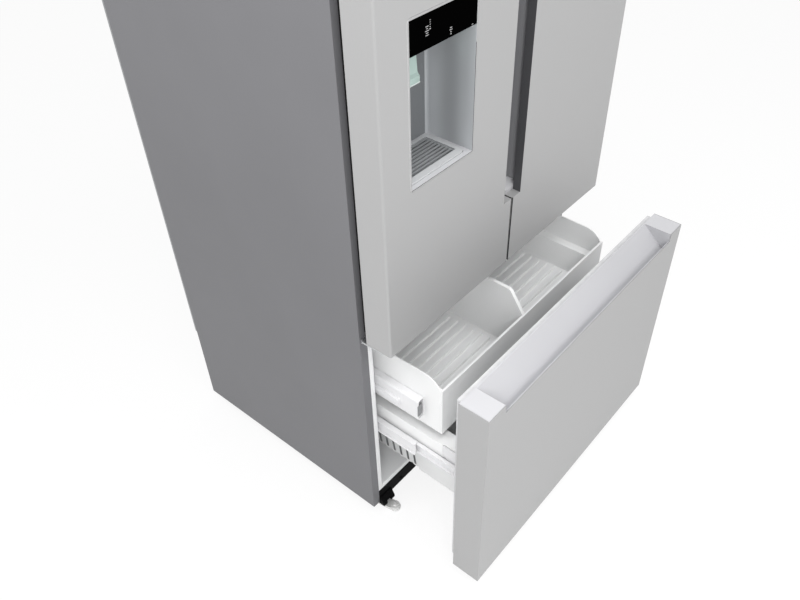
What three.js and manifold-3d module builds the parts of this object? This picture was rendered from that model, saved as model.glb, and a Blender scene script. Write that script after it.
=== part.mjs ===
// Bottom-freezer refrigerator with two upper doors, a dispenser in the left door and a freezer drawer.
// Millimetres. +X right, +Y to the rear, +Z up. Doors closed, drawer and basket partly pulled out.
// Left-hand pieces are modelled at x < 0; right-hand twins are the same solid mirrored in x.

import * as THREE from 'three';
import { mergeVertices } from 'three/addons/utils/BufferGeometryUtils.js';
import Module from 'manifold-3d';

const wasm = await Module();
wasm.setup();

// ---------------------------------------------------------------- driving dimensions
const WIDTH = 790;
const CABINET_DEPTH = 627; // front flange plane to the rear sheet
const FLOOR_GAP = 25; // underside of the side walls above the floor
const CABINET_TOP = 1768;
const HINGE_COVER_TOP = 1790;
const GAP = 0.3; // clearance between pieces that touch

const FLANGE = 22; // width of the steel front flange of each side wall
const SIDE_WALL = 32; // steel, foam and liner clearance
const LINER = 2.7; // liner wall thickness
const FLANGE_DEPTH = 8;
const KICK_TOP = 70;
const CROSSRAIL = [586, 640]; // steel strip between the two compartments

const DOOR_FRONT = -84.3; // y of the front faces, closed
const DOOR_REAR = -20;
const DOOR_BOTTOM = 615;
const DOOR_TOP = 1764;
const DOOR_GAP = 4; // between the two doors

const DRAWER_BOTTOM = 29;
const DRAWER_TOP = 601;
const DRAWER_THICKNESS = 72;
const DRAWER_PULLED = 238; // how far the drawer stands open
const RAIL_PULLED = 119; // the telescopic rails' middle members by half

const FREEZER_FLOOR = 85;
const FREEZER_CEILING = 578;
const FREEZER_STEP = 288; // top of the step over the machine compartment
const FREEZER_STEP_DEPTH = 367;
const FREEZER_DEPTH = 557;
const FRIDGE_FLOOR = 653;
const FRIDGE_CEILING = 1732;
const FRIDGE_DEPTH = 572;
const MACHINE_DEPTH = 395; // where the machine compartment starts, from the front
const MACHINE_TOP = 262;

const HINGE_X = -373; // door hinge axis
const HINGE_Y = -55;
const PIN_R = 5;
const PIN_HOLE_R = 5.5;

const HALF = WIDTH / 2;
const FLANGE_X = HALF - FLANGE;
const CAVITY_X = HALF - SIDE_WALL;
const LINER_X = CAVITY_X - GAP - LINER;
const BODY_BACK = CABINET_DEPTH - 5;
const ORIGIN_Y = (CABINET_DEPTH + DOOR_FRONT - DRAWER_PULLED) / 2;

// ---------------------------------------------------------------- materials
const finish = (color, roughness, metalness = 0, extra = {}) =>
  new THREE.MeshStandardMaterial({ color, roughness, metalness, ...extra });

const STEEL = finish(0xb8b8ba, 0.32, 0.9);
const CABINET_GREY = finish(0x6f7072, 0.45, 0.5);
const TRIM_GREY = finish(0xdcdce0, 0.5);
const LINER_WHITE = finish(0xf2f3f4, 0.4);
const BIN_CLEAR = finish(0xe8eef0, 0.2, 0, { transparent: true, opacity: 0.6 });
const GLASS = finish(0xd7e6e2, 0.05, 0, { transparent: true, opacity: 0.4 });
const GASKET_GREY = finish(0x1a1a1b, 0.7);
const BLACK = finish(0x121213, 0.5);
const BLACK_GLASS = finish(0x08080a, 0.08);
const DARK_TRIM = finish(0x3b3c3e, 0.4, 0.3);
const CAVITY_GREY = finish(0xaeb1b3, 0.3);
const PADDLE_GREEN = finish(0xc9e4da, 0.15, 0, { transparent: true, opacity: 0.6 });
const ZINC = finish(0xc9cacc, 0.35, 0.9);
const COPPER = finish(0xb5794f, 0.35, 0.9);

// ---------------------------------------------------------------- solids
// Closed geometry to a solid that can be joined and cut.
function solid(geometry) {
  const bare = geometry.clone();
  bare.deleteAttribute('normal');
  bare.deleteAttribute('uv');
  const merged = mergeVertices(bare, 1e-4);
  return new wasm.Manifold(new wasm.Mesh({
    numProp: 3,
    vertProperties: new Float32Array(merged.attributes.position.array),
    triVerts: new Uint32Array(merged.index.array),
  }));
}

const join = (first, ...others) => others.reduce((sum, other) => sum.add(other), first);
const cut = (first, ...others) => others.reduce((rest, other) => rest.subtract(other), first);

// Box between two corners.
function box([x0, x1], [y0, y1], [z0, z1]) {
  const geometry = new THREE.BoxGeometry(x1 - x0, y1 - y0, z1 - z0);
  geometry.translate((x0 + x1) / 2, (y0 + y1) / 2, (z0 + z1) / 2);
  return solid(geometry);
}

// Profile swept along one axis. Profile axes: for 'x' (y, z), for 'y' (x, z), for 'z' (x, y).
// An arc in the profile gets twice curveSegments steps.
function prism(shape, axis, [from, to], curveSegments = 2) {
  const geometry = new THREE.ExtrudeGeometry(shape, { depth: to - from, bevelEnabled: false, curveSegments });
  const X = new THREE.Vector3(1, 0, 0);
  const Y = new THREE.Vector3(0, 1, 0);
  const Z = new THREE.Vector3(0, 0, 1);
  const place = new THREE.Matrix4();
  if (axis === 'x') place.makeBasis(Y, Z, X).setPosition(from, 0, 0);
  if (axis === 'y') place.makeBasis(X, Z, Y.clone().negate()).setPosition(0, to, 0);
  if (axis === 'z') place.setPosition(0, 0, from);
  return solid(geometry.applyMatrix4(place));
}

const outline = (points) => new THREE.Shape(points.map(([u, v]) => new THREE.Vector2(u, v)));

// Rectangle with round corners, as a shape.
function roundRect([u0, u1], [v0, v1], r) {
  const shape = new THREE.Shape();
  shape.moveTo(u0 + r, v0);
  shape.lineTo(u1 - r, v0);
  shape.absarc(u1 - r, v0 + r, r, -Math.PI / 2, 0, false);
  shape.lineTo(u1, v1 - r);
  shape.absarc(u1 - r, v1 - r, r, 0, Math.PI / 2, false);
  shape.lineTo(u0 + r, v1);
  shape.absarc(u0 + r, v1 - r, r, Math.PI / 2, Math.PI, false);
  shape.lineTo(u0, v0 + r);
  shape.absarc(u0 + r, v0 + r, r, Math.PI, Math.PI * 1.5, false);
  return shape;
}

// Cylinder along an axis, from one coordinate to another, its centre given by the other two.
function rod(axis, [from, to], [a, b], radius, sides = 16) {
  const circle = new THREE.Shape();
  circle.absarc(a, b, radius, 0, Math.PI * 2, false);
  return prism(circle, axis, [from, to], sides / 2);
}

// Lofted solid through rings with equal numbers of points, its end rings convex.
function loft(rings) {
  const count = rings[0].length;
  const positions = rings.flat(2);
  const index = [];
  for (let ring = 0; ring < rings.length - 1; ring += 1) {
    for (let i = 0; i < count; i += 1) {
      const a = ring * count + i;
      const b = ring * count + (i + 1) % count;
      index.push(a, b, b + count, a, b + count, a + count);
    }
  }
  const last = (rings.length - 1) * count;
  for (let i = 1; i < count - 1; i += 1) {
    index.push(0, i + 1, i);
    index.push(last, last + i, last + i + 1);
  }
  const geometry = new THREE.BufferGeometry();
  geometry.setAttribute('position', new THREE.Float32BufferAttribute(positions, 3));
  geometry.setIndex(index);
  return solid(geometry);
}

// Horizontal round-cornered ring, for lofted tubs.
function ringAt(z, [x0, x1], [y0, y1], r) {
  return roundRect([x0, x1], [y0, y1], r).getPoints(2).slice(0, -1).map((p) => [p.x, p.y, z]);
}

// Open-topped tub whose walls lean outwards by draft from the bottom to the rim.
function tub({ x: [x0, x1], y: [y0, y1], z: [z0, z1], wall, draft, radius }) {
  const outer = loft([
    ringAt(z0, [x0 + draft, x1 - draft], [y0 + draft, y1 - draft], radius),
    ringAt(z1, [x0, x1], [y0, y1], radius),
  ]);
  const low = draft + wall;
  const inner = loft([
    ringAt(z0 + wall, [x0 + low, x1 - low], [y0 + low, y1 - low], radius - wall),
    ringAt(z1 + 1, [x0 + wall, x1 - wall], [y0 + wall, y1 - wall], radius - wall),
  ]);
  return cut(outer, inner);
}

// ---------------------------------------------------------------- the group
const refrigerator = new THREE.Group();
refrigerator.name = 'refrigerator';
refrigerator.position.y = -ORIGIN_Y;

// Names a solid as one piece, mirrored in x for a right-hand twin.
function addPiece(name, manifold, material, mirrored = false) {
  const { vertProperties, triVerts } = manifold.getMesh();
  const positions = Float32Array.from(vertProperties);
  const index = Array.from(triVerts);
  if (mirrored) {
    for (let i = 0; i < positions.length; i += 3) positions[i] = -positions[i];
    for (let i = 0; i < index.length; i += 3) [index[i], index[i + 1]] = [index[i + 1], index[i]];
  }
  const indexed = new THREE.BufferGeometry();
  indexed.setAttribute('position', new THREE.BufferAttribute(positions, 3));
  indexed.setIndex(index);
  const geometry = indexed.toNonIndexed();
  geometry.computeVertexNormals();
  const mesh = new THREE.Mesh(geometry, material);
  mesh.name = name;
  refrigerator.add(mesh);
}

// Adds the left-hand piece and its mirrored right-hand twin.
function addPair(name, manifold, material) {
  addPiece(`${name}_left`, manifold, material);
  addPiece(`${name}_right`, manifold, material, true);
}

// ---------------------------------------------------------------- cabinet
const ROLLER_Y = 560;
const ROLLER_R = 18;
const ROLLER_X = [-362, -338];
const BASE_PLATE = [40, 46];

function cabinetShell() {
  const wrapper = prism(roundRect([-HALF, HALF], [FLOOR_GAP, CABINET_TOP], 4), 'y', [0, BODY_BACK]);
  const lowRecess = box([-FLANGE_X, FLANGE_X], [-1, FLANGE_DEPTH + GAP], [KICK_TOP, CROSSRAIL[0]]);
  const highRecess = box([-FLANGE_X, FLANGE_X], [-1, FLANGE_DEPTH + GAP], [CROSSRAIL[1], CABINET_TOP - FLANGE]);
  const fridgeCavity = box([-CAVITY_X, CAVITY_X], [0, FRIDGE_DEPTH + 3], [650, 1735]);
  const freezerLow = box([-CAVITY_X, CAVITY_X], [0, 370], [82, 300]);
  const freezerHigh = box([-CAVITY_X, CAVITY_X], [0, 560], [285, 581]);
  const underside = box([-FLANGE_X, FLANGE_X], [-1, MACHINE_DEPTH], [FLOOR_GAP - 1, 62]);
  const toeKick = box([-FLANGE_X, FLANGE_X], [-1, 20], [FLOOR_GAP - 1, KICK_TOP + 1]);
  const machine = box([-FLANGE_X, FLANGE_X], [MACHINE_DEPTH, BODY_BACK + 1], [BASE_PLATE[1], MACHINE_TOP]);
  const rearUnder = box([-FLANGE_X, FLANGE_X], [MACHINE_DEPTH - 1, BODY_BACK + 1], [FLOOR_GAP - 1, BASE_PLATE[0]]);
  const body = cut(wrapper, lowRecess, highRecess, fridgeCavity, freezerLow, freezerHigh, underside, toeKick, machine, rearUnder);
  return join(body, ...[-1, 1].map(rollerBracket));
}

// Two ears and an axle that carry one rear roller.
function rollerBracket(side) {
  const span = (x0, x1) => [Math.min(side * x0, side * x1), Math.max(side * x0, side * x1)];
  const [outer, inner] = ROLLER_X;
  const ear = outline([
    [ROLLER_Y - 24, BASE_PLATE[0] + 1], [ROLLER_Y - 9, 10], [ROLLER_Y + 9, 10], [ROLLER_Y + 24, BASE_PLATE[0] + 1],
  ]);
  return join(
    prism(ear, 'x', span(outer - 5, outer - 2)),
    prism(ear, 'x', span(inner + 2, inner + 5)),
    rod('x', span(outer - 5, inner + 5), [ROLLER_Y, ROLLER_R], 4, 12),
  );
}

function rearRoller() {
  const tread = rod('x', ROLLER_X, [ROLLER_Y, ROLLER_R], ROLLER_R, 20);
  const bore = rod('x', [ROLLER_X[0] - 1, ROLLER_X[1] + 1], [ROLLER_Y, ROLLER_R], 4.4, 12);
  const dish = (from, to) => cut(
    rod('x', [from, to], [ROLLER_Y, ROLLER_R], 14, 12),
    rod('x', [from - 1, to + 1], [ROLLER_Y, ROLLER_R], 8, 12),
  );
  return cut(tread, bore, dish(ROLLER_X[0] - 1, ROLLER_X[0] + 6), dish(ROLLER_X[1] - 6, ROLLER_X[1] + 1));
}

function backPanel() {
  const sheet = box([-HALF + GAP, HALF - GAP], [BODY_BACK + GAP, CABINET_DEPTH], [MACHINE_TOP + 1, CABINET_TOP - GAP]);
  const grooves = [-260, -90, 90, 260].map((x) =>
    prism(roundRect([x - 22, x + 22], [340, 1690], 12), 'y', [CABINET_DEPTH - 1.5, CABINET_DEPTH + 1]));
  return cut(sheet, ...grooves);
}

// Black base member: front plate, top fold and a lug on each side for the levelling foot.
function kickStrip() {
  const plate = prism(outline([
    [0, FLOOR_GAP], [2, FLOOR_GAP], [2, KICK_TOP - 4], [19, KICK_TOP - 4], [19, KICK_TOP - GAP], [0, KICK_TOP - GAP],
  ]), 'x', [-FLANGE_X + GAP, FLANGE_X - GAP]);
  const lugs = [-1, 1].map((side) => {
    const span = [side * 352 - 20, side * 352 + 20];
    return prism(outline([
      [-14, 16], [-14, 24], [-4, 44], [1, 44], [1, FLOOR_GAP], [19, FLOOR_GAP], [19, 16],
    ]), 'x', span);
  });
  const toolSlots = [-1, 1].map((side) => box([side * 352 - 7, side * 352 + 7], [-15, -8], [15, 28]));
  return cut(join(plate, ...lugs), ...toolSlots);
}

// Levelling foot: a round pad with a knurled collar and a tongue that runs back under the lug.
function frontFoot() {
  const [x, y] = [-348, -29];
  const pad = rod('z', [0, 5], [x, y], 14, 24);
  const collar = rod('z', [4, 12], [x, y], 12, 24);
  const stem = rod('z', [11, 15.5], [x, y], 5);
  const tongue = prism(outline([[x - 14, y], [x + 12, y], [x + 6, 12], [x - 20, 12]]), 'z', [0, 9]);
  const slot = box([x - 1.2, x + 1.2], [y - 6, y + 6], [13.5, 16]);
  return cut(join(pad, collar, stem, tongue), slot);
}

function fridgeLiner() {
  const flange = box([-FLANGE_X + GAP, FLANGE_X - GAP], [0, FLANGE_DEPTH], [CROSSRAIL[1] + GAP, CABINET_TOP - FLANGE - GAP]);
  const [floor, ceiling] = [FRIDGE_FLOOR - LINER, FRIDGE_CEILING + LINER];
  const tank = prism(roundRect([-LINER_X - LINER, LINER_X + LINER], [floor, ceiling], 20), 'y', [0, FRIDGE_DEPTH + LINER]);
  const inside = prism(roundRect([-LINER_X, LINER_X], [FRIDGE_FLOOR, FRIDGE_CEILING], 18), 'y', [-1, FRIDGE_DEPTH]);
  const ledges = SHELF_HEIGHTS.flatMap((z) => [-1, 1].map((side) =>
    prism(outline([[side * (LINER_X + 1), z - 16], [side * (LINER_X - 10), z - 6], [side * (LINER_X - 10), z],
      [side * (LINER_X + 1), z]]), 'y', [60, 530])));
  return join(cut(join(flange, tank), inside), ...ledges);
}

function freezerLiner() {
  const flange = box([-FLANGE_X + GAP, FLANGE_X - GAP], [0, FLANGE_DEPTH], [KICK_TOP + GAP, CROSSRAIL[0] - GAP]);
  const stepped = (grow, front) => prism(outline([
    [front, FREEZER_FLOOR - grow], [FREEZER_STEP_DEPTH + grow, FREEZER_FLOOR - grow],
    [FREEZER_STEP_DEPTH + grow, FREEZER_STEP - grow], [FREEZER_DEPTH + grow, FREEZER_STEP - grow],
    [FREEZER_DEPTH + grow, FREEZER_CEILING + grow], [front, FREEZER_CEILING + grow],
  ]), 'x', [-LINER_X - grow, LINER_X + grow]);
  return cut(join(flange, stepped(LINER, 0)), stepped(0, -1));
}

// ---------------------------------------------------------------- refrigerator compartment
const SHELF_HEIGHTS = [900, 1160, 1420];
const SHELF_THICKNESS = 6;

// Glass plate with a thicker moulded front edge.
function glassShelf(z) {
  const plate = prism(roundRect([-LINER_X + 2, LINER_X - 2], [112, 520], 12), 'z', [z + GAP, z + SHELF_THICKNESS]);
  const nosing = prism(roundRect([112, 126], [z - 8, z + 9], 4), 'x', [-LINER_X + 14, LINER_X - 14]);
  return join(plate, nosing);
}

// Full-width crisper box with a scooped handle along its front rim.
function crisper() {
  const body = tub({ x: [-346, 346], y: [122, 510], z: [FRIDGE_FLOOR + 1, 882], wall: 3, draft: 12, radius: 16 });
  const handle = prism(outline([[123, 882], [123, 862], [110, 852], [107, 856], [118, 866], [118, 882]]), 'x', [-320, 320]);
  return join(body, handle);
}

// Rear air duct with louvres.
function airDuct() {
  const cover = prism(roundRect([-95, 95], [930, 1690], 10), 'y', [532, FRIDGE_DEPTH - GAP]);
  const louvres = [];
  for (let z = 980; z <= 1640; z += 60) {
    louvres.push(box([-70, 70], [531, 545], [z, z + 14]));
  }
  return cut(cover, ...louvres);
}

// ---------------------------------------------------------------- machine compartment and cooling
function compressor() {
  const profile = [
    [0, 60], [30, 62], [58, 74], [68, 92], [68, 124], [72, 126], [72, 132], [68, 134], [68, 164], [58, 190], [30, 204], [0, 206],
  ].map(([r, z]) => new THREE.Vector2(r, z));
  const can = solid(new THREE.LatheGeometry(profile, 16).rotateX(Math.PI / 2).translate(-230, 508, 0));
  const feet = [-1, 1].flatMap((u) => [-1, 1].map((v) => rod('z', [BASE_PLATE[1] + GAP, 68], [-230 + u * 56, 508 + v * 56], 9, 8)));
  const plate = box([-302, -158], [436, 580], [62, 66]);
  const stub = rod('z', [200, 222], [-230, 478], 5, 12);
  return join(can, plate, stub, ...feet);
}

// Serpentine finned tube and the fan's frame, both standing in the defrost water pan.
function condenser() {
  const runs = 6;
  const pitch = 30;
  const [x0, x1] = [110, 330];
  const route = new THREE.CurvePath();
  for (let i = 0; i < runs; i += 1) {
    const z = 66 + i * pitch;
    const [from, to] = i % 2 === 0 ? [x0, x1] : [x1, x0];
    route.add(new THREE.LineCurve3(new THREE.Vector3(from, 500, z), new THREE.Vector3(to, 500, z)));
    if (i < runs - 1) {
      const bulge = to === x1 ? 20 : -20;
      route.add(new THREE.CubicBezierCurve3(
        new THREE.Vector3(to, 500, z), new THREE.Vector3(to + bulge, 500, z),
        new THREE.Vector3(to + bulge, 500, z + pitch), new THREE.Vector3(to, 500, z + pitch)));
    }
  }
  const section = new THREE.Shape();
  section.absarc(0, 0, 5, 0, Math.PI * 2, false);
  const tube = solid(new THREE.ExtrudeGeometry(section, { extrudePath: route, steps: 44, curveSegments: 3, bevelEnabled: false }));
  const fins = [];
  for (let x = x0 + 15; x <= x1 - 15; x += 190) {
    fins.push(box([x, x + 1.6], [482, 518], [PAN_FLOOR - 1, 236]));
  }
  return join(tube, ...fins, fanFrame(), defrostPan());
}

// Shallow pan that catches and evaporates the defrost water.
function defrostPan() {
  return tub({ x: [10, 352], y: [410, 590], z: [BASE_PLATE[1] + GAP, BASE_PLATE[1] + 16], wall: 2, draft: 3, radius: 8 });
}

const PAN_FLOOR = BASE_PLATE[1] + GAP + 2;
const FAN_X = 40;
const FAN_Z = 150;

// Fan rotor: a hub and five pitched blades on a stub shaft.
function condenserFan() {
  const hub = rod('x', [FAN_X - 14, FAN_X + 12], [500, FAN_Z], 20);
  const blades = [0, 1, 2, 3, 4].map((i) => {
    const blade = new THREE.BoxGeometry(3, 34, 52);
    blade.rotateZ(0.6);
    blade.translate(0, 0, 42);
    blade.rotateX((i * Math.PI * 2) / 5);
    blade.translate(FAN_X, 500, FAN_Z);
    return solid(blade);
  });
  return join(hub, ...blades);
}

// Square frame, motor and struts around the fan.
function fanFrame() {
  const plate = box([FAN_X - 18, FAN_X + 22], [418, 582], [PAN_FLOOR - 1, 240]);
  const throat = rod('x', [FAN_X - 19, FAN_X + 23], [500, FAN_Z], 74, 20);
  const motor = rod('x', [FAN_X + 14, FAN_X + 40], [500, FAN_Z], 22);
  const struts = [0, 1, 2].map((i) => {
    const strut = new THREE.BoxGeometry(6, 8, 80);
    strut.translate(0, 0, 40);
    strut.rotateX((i * Math.PI * 2) / 3);
    strut.translate(FAN_X + 18, 500, FAN_Z);
    return solid(strut);
  });
  return join(cut(plate, throat), motor, ...struts);
}

// Lower rear cover with two groups of louvres, the power cord's gland and the water inlet's stub.
function compressorCover() {
  const sheet = box([-FLANGE_X + GAP, FLANGE_X - GAP], [BODY_BACK - 3, BODY_BACK], [BASE_PLATE[1] + GAP, MACHINE_TOP - GAP]);
  const slots = [];
  for (const x of [-290, 90]) {
    for (let i = 0; i < 6; i += 1) {
      slots.push(box([x, x + 200], [BODY_BACK - 4, BODY_BACK + 1], [84 + i * 26, 94 + i * 26]));
    }
  }
  const gland = cut(rod('y', [BODY_BACK - 1, BODY_BACK + 4], [330, 90], 11), rod('y', [BODY_BACK - 5, BODY_BACK + 5], [330, 90], 5, 12));
  const inlet = rod('y', [BODY_BACK - 1, BODY_BACK + 5], [-335, 90], 9);
  return cut(join(cut(sheet, ...slots), gland, inlet), rod('y', [BODY_BACK - 5, BODY_BACK + 5.5], [330, 90], 5, 12));
}

function evaporator() {
  const points = [];
  const fins = 22;
  const pitch = 20;
  const start = -fins * pitch / 2;
  for (let i = 0; i < fins; i += 1) {
    const x = start + i * pitch;
    points.push([x, 505], [x + 2, 505], [x + 2, 540], [x + pitch, 540]);
  }
  const end = start + fins * pitch;
  points.push([end, 505], [end + 2, 505], [end + 2, 552], [start, 552]);
  return prism(outline(points), 'z', [310, 520]);
}

function evaporatorCover() {
  const sheet = box([-LINER_X + 1, LINER_X - 1], [490, 498], [FREEZER_STEP + 1, FREEZER_CEILING - 1]);
  const vents = [-1, 1].flatMap((side) => [0, 1, 2].map((i) => {
    const x = side * 170;
    return prism(roundRect([x - 90, x + 90], [520 - i * 22, 532 - i * 22], 5), 'y', [489, 499], 1);
  }));
  const intake = prism(roundRect([-200, 200], [300, 318], 6), 'y', [489, 499], 1);
  return cut(sheet, ...vents, intake);
}

// ---------------------------------------------------------------- hinges
// Top hinge: a cranked plate on the cabinet that carries the pin in front of it.
function topHinge() {
  const plate = prism(outline([
    [-391, -66], [-352, -66], [-340, -30], [-318, 8], [-318, 78], [-391, 78],
  ]), 'z', [CABINET_TOP + GAP, CABINET_TOP + 4]);
  const pin = rod('z', [DOOR_TOP - 20, CABINET_TOP + 2], [HINGE_X, HINGE_Y], PIN_R);
  const screws = [[-376, 30], [-336, 30], [-356, 62]].map((at) => rod('z', [CABINET_TOP + 3, CABINET_TOP + 7], at, 6, 12));
  return join(plate, pin, ...screws);
}

// Moulded cap over the top hinge, hollow underneath and sloped at the front.
function hingeCover() {
  const side = outline([
    [-78, CABINET_TOP + GAP], [92, CABINET_TOP + GAP], [92, HINGE_COVER_TOP - 6], [84, HINGE_COVER_TOP],
    [-56, HINGE_COVER_TOP], [-74, HINGE_COVER_TOP - 6], [-78, HINGE_COVER_TOP - 12],
  ]);
  const inside = box([-392, -312], [-72, 86], [CABINET_TOP, HINGE_COVER_TOP - 4]);
  return cut(prism(side, 'x', [-395, -308]), inside);
}

// Middle hinge: an angle on the front flange with the lower door pin.
function midHinge() {
  const arm = prism(outline([[-391, -0.3], [-391, -58], [-383, -66], [-364, -66], [-352, -50], [-330, -8], [-330, -0.3]]), 'z', [605, 609]);
  const web = box([-391, -330], [-3, -GAP], [602, 614]);
  const washer = rod('z', [608, DOOR_BOTTOM - GAP], [HINGE_X, HINGE_Y], 9);
  const pin = rod('z', [608, 632], [HINGE_X, HINGE_Y], PIN_R);
  return join(arm, web, washer, pin);
}

// ---------------------------------------------------------------- doors
const HANDLE_X = 30; // half width of the groove between the doors
const HANDLE_BOTTOM = 782;
const HANDLE_TOP = 1640;
const HANDLE_STEP_Y = -65; // where the groove's shallow front part ends
const HANDLE_BACK_Y = -40;
const HANDLE_STEP = 24; // height of the closed block at each end of the deep part
const HANDLE_UNDERCUT = 44; // half width of the deep part, behind the front skin
const HANDLE_PLATE = 4;
const HANDLE_SLOPE = 15; // how far the end blocks slope down towards the front
const DISPENSER_X = [-321, -151];
const DISPENSER_Z = [965, 1256];
const PANEL_BOTTOM = 1200; // lower edge of the black glass
const CAVITY_BACK = 24;
const DISPENSER_CENTRE = -236;

// Foamed steel door with round front edges, cut by the handle groove and the hinge pin holes.
function doorBody() {
  const plan = new THREE.Shape();
  const r = 5;
  plan.moveTo(-HALF, DOOR_REAR);
  plan.lineTo(-HALF, DOOR_FRONT + r);
  plan.absarc(-HALF + r, DOOR_FRONT + r, r, Math.PI, Math.PI * 1.5, false);
  plan.lineTo(-DOOR_GAP / 2 - 2, DOOR_FRONT);
  plan.absarc(-DOOR_GAP / 2 - 2, DOOR_FRONT + 2, 2, Math.PI * 1.5, Math.PI * 2, false);
  plan.lineTo(-DOOR_GAP / 2, DOOR_REAR);
  const slab = prism(plan, 'z', [DOOR_BOTTOM, DOOR_TOP]);
  const shallow = box([-HANDLE_X, 1], [DOOR_FRONT - 1, HANDLE_STEP_Y + 0.01], [HANDLE_BOTTOM, HANDLE_TOP]);
  const deep = box([-HANDLE_UNDERCUT, 1], [HANDLE_STEP_Y, HANDLE_BACK_Y], [HANDLE_BOTTOM, HANDLE_TOP]);
  const lowHole = rod('z', [DOOR_BOTTOM - 1, DOOR_BOTTOM + 20], [HINGE_X, HINGE_Y], PIN_HOLE_R);
  const highHole = rod('z', [DOOR_TOP - 24, DOOR_TOP + 1], [HINGE_X, HINGE_Y], PIN_HOLE_R);
  return cut(slab, shallow, deep, lowHole, highHole);
}

// Insert of the deep groove: a back plate between two closed ends, each sloping towards the front.
function handleChannel() {
  const [front, back] = [HANDLE_STEP_Y + GAP, HANDLE_BACK_Y - GAP];
  const plate = back - HANDLE_PLATE;
  const [bottom, top] = [HANDLE_BOTTOM + GAP, HANDLE_TOP - GAP];
  const profile = outline([
    [front, bottom], [back, bottom], [back, top], [front, top], [front, top - HANDLE_STEP + HANDLE_SLOPE],
    [plate, top - HANDLE_STEP], [plate, bottom + HANDLE_STEP], [front, bottom + HANDLE_STEP - HANDLE_SLOPE],
  ]);
  return prism(profile, 'x', [-HANDLE_UNDERCUT + GAP, -DOOR_GAP / 2 - GAP]);
}

const GASKET_OUT = { x: [-380, -8], z: [624, 1758] };
const GASKET_WIDTH = 16;

// Magnetic gasket frame of a door.
function doorGasket() {
  const { x, z } = GASKET_OUT;
  const ring = (inset, y) => prism(roundRect([x[0] + inset, x[1] - inset], [z[0] + inset, z[1] - inset], 5), 'y', y, 3);
  const [front, rear] = [DOOR_REAR + GAP, -1];
  const full = cut(ring(0, [front, rear]), ring(GASKET_WIDTH, [front - 1, rear + 1]));
  const band = (inset, y) => box([x[0] + inset, x[1] - inset], y, [z[0] + inset, z[1] - inset]);
  const waist = cut(band(-1, [-13, -8]), band(3, [-14, -7]));
  return cut(full, waist);
}

const DOOR_LINER_X = [-363, -26];
const DIKE_X = [-348, -48];
const DOOR_LINER_Z = [642, 1740];
const BIN_X = [-330, -68];

// Inner door panel: a plate with a raised frame of dikes and lugs for the bins.
function doorLiner(binHeights) {
  const plate = prism(roundRect(DOOR_LINER_X, DOOR_LINER_Z, 8), 'y', [DOOR_REAR + GAP, -13]);
  const [x0, x1] = DIKE_X;
  const dikeAt = (from, to) => prism(outline([
    [from, -14], [from + 3, 34], [to - 3, 34], [to, -14],
  ]), 'z', [DOOR_LINER_Z[0] + 26, DOOR_LINER_Z[1] - 26]);
  const top = prism(outline([[-14, 1716], [24, 1712], [24, 1698], [-14, 1694]]), 'x', [x0 + 4, x1 - 4]);
  const bottom = prism(outline([[-14, 664], [24, 668], [24, 682], [-14, 686]]), 'x', [x0 + 4, x1 - 4]);
  const lugs = binHeights.flatMap((z) => [x0 + 17, x1 - 13].map((x) => box([x - 3, x + 3], [-2, 22], [z + 20, z + 34])));
  return join(plate, dikeAt(x0, x0 + 18), dikeAt(x1 - 14, x1), top, bottom, ...lugs);
}

// Door bin with a raised front bar.
function doorBin(z, height) {
  const body = tub({ x: BIN_X, y: [-11, 96], z: [z, z + height], wall: 2.5, draft: 4, radius: 14 });
  const rim = cut(
    prism(roundRect(BIN_X, [-11, 96], 14), 'z', [z + height - 8, z + height]),
    prism(roundRect([BIN_X[0] + 2.5, BIN_X[1] - 2.5], [-8.5, 93.5], 11.5), 'z', [z + height - 9, z + height + 1]),
  );
  return join(body, rim);
}

// ---------------------------------------------------------------- dispenser
// Outer shape of the dispenser's moulding, larger by grow.
function dispenserBlock(grow) {
  const face = prism(roundRect([DISPENSER_X[0] - 4 - grow, DISPENSER_X[1] + 4 + grow],
    [DISPENSER_Z[0] - 4 - grow, DISPENSER_Z[1] + 4 + grow], 8), 'y', [DOOR_FRONT - grow, DOOR_REAR + 1]);
  const rear = prism(outline([
    [-76 - grow, 938 - grow], [CAVITY_BACK + 3 + grow, 938 - grow], [CAVITY_BACK + 3 + grow, 1240 + grow],
    [-4 + grow, 1266 + grow], [-76 - grow, 1266 + grow],
  ]), 'x', [DISPENSER_X[0] - 8 - grow, DISPENSER_X[1] + 8 + grow]);
  return join(face, rear);
}

function dispenserHousing() {
  const [x0, x1] = DISPENSER_X;
  const plan = roundRect([x0, x1], [-140, CAVITY_BACK], 7);
  const cavity = cut(
    prism(plan, 'z', [DISPENSER_Z[0], 1232]),
    box([x0 - 1, x1 + 1], [-141, DOOR_FRONT - 1], [DISPENSER_Z[0] - 1, 1240]),
  );
  const glassSeat = box([x0, x1], [DOOR_FRONT - 1, DOOR_FRONT + 6], [PANEL_BOTTOM, DISPENSER_Z[1]]);
  const sump = prism(roundRect([x0 + 8, x1 - 8], [-74, 18], 8), 'z', [946, DISPENSER_Z[0] + 1]);
  const body = cut(dispenserBlock(0), cavity, glassSeat, sump);
  const spout = rod('z', [1196, 1234], [DISPENSER_CENTRE, -34], 11, 20);
  const bore = rod('z', [1195, 1226], [DISPENSER_CENTRE, -34], 5, 16);
  const ears = [-1, 1].map((side) => {
    const x = DISPENSER_CENTRE + side * 38;
    return box([x - 2.5, x + 2.5], [-6, 16], [1206, 1234]);
  });
  return join(body, cut(spout, bore), ...ears);
}

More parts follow.
